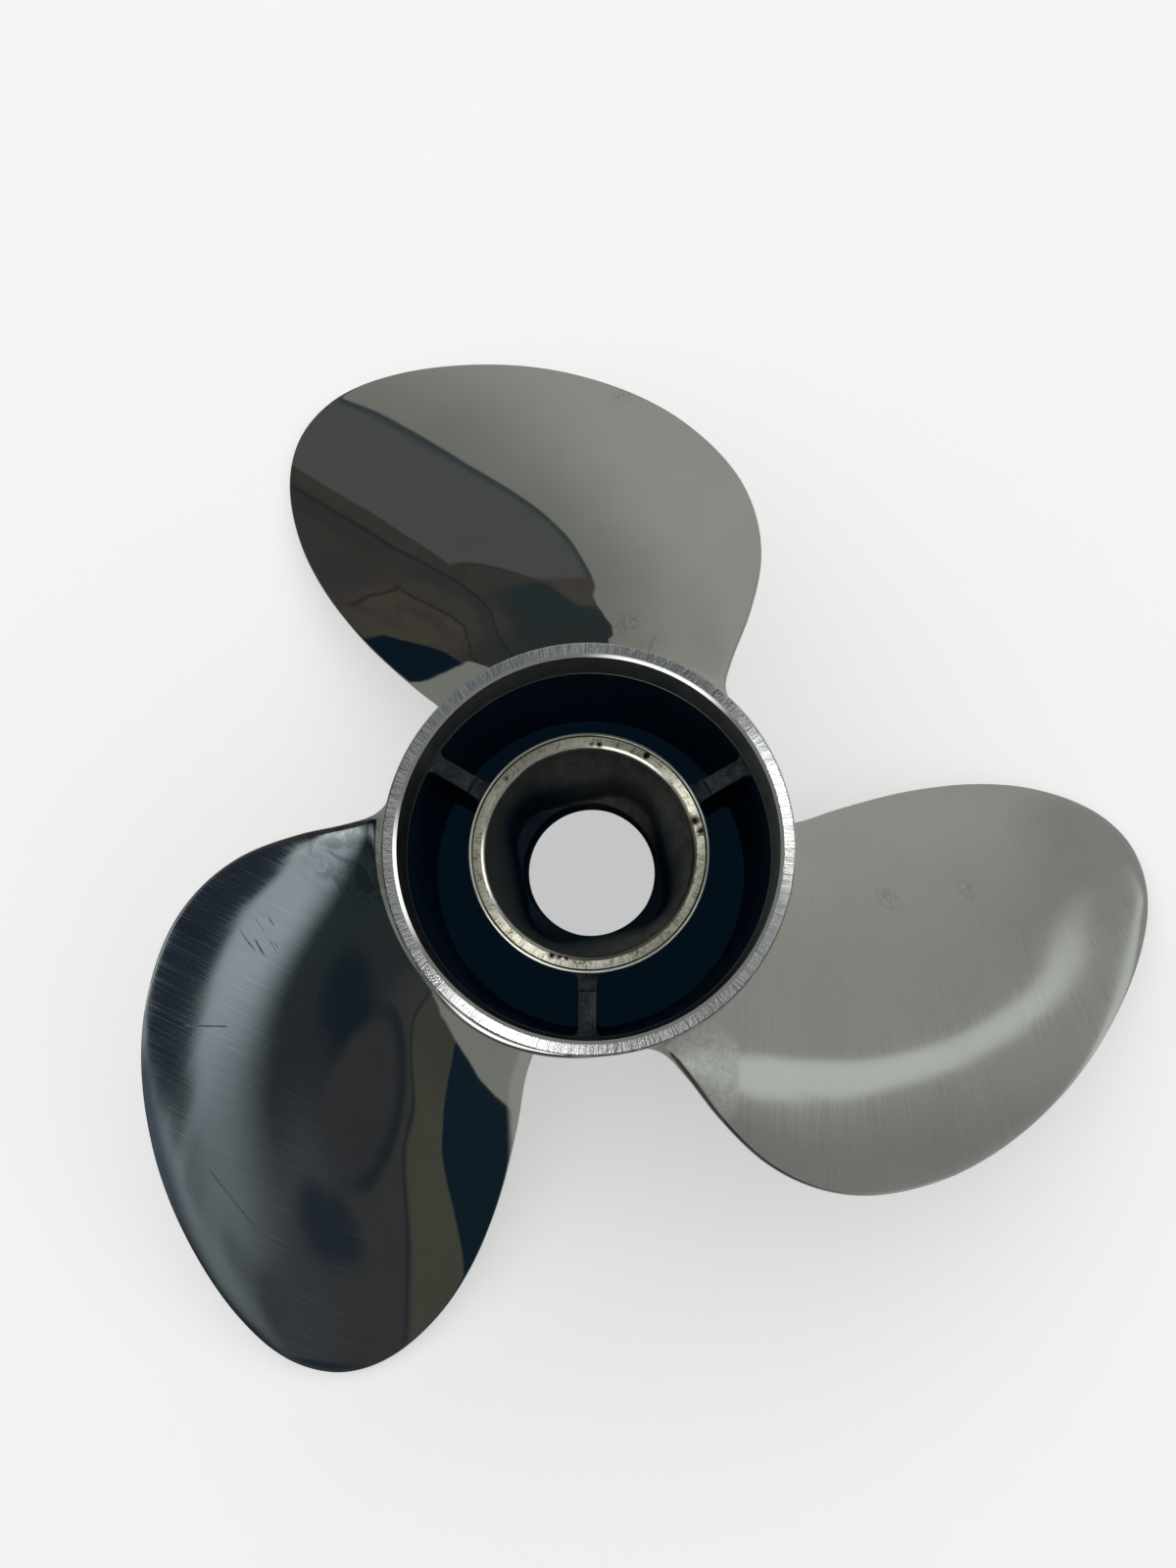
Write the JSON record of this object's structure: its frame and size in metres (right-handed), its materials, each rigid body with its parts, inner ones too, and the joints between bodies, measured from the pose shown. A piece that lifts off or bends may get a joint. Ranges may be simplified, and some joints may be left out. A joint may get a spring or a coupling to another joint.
{
  "type": "outboard boat propeller",
  "caption": "Left-hand stainless propeller of an outboard motor: raked blades on a hollow hub barrel, with exhaust passages round an inner hub that takes a square drive sleeve.",
  "frame": {"origin": "centroid of the propeller, on the shaft axis", "axes": "+Z along the shaft axis, towards the front rim that meets the gearcase; +X 30 degrees counterclockwise of the first blade's line, seen from the front"},
  "size_m": [0.3214, 0.3324, 0.139],
  "materials": {
    "machined_stainless": "satin",
    "polished_stainless": "polished",
    "cast_stainless": "matte"
  },
  "bodies": {
    "root": {"barrel": "machined_stainless", "inner_hub": "machined_stainless", "rib_1": "cast_stainless", "rib_2": "cast_stainless", "rib_3": "cast_stainless", "blade_1": "polished_stainless", "blade_2": "polished_stainless", "blade_3": "polished_stainless"}
  },
  "joints": []
}
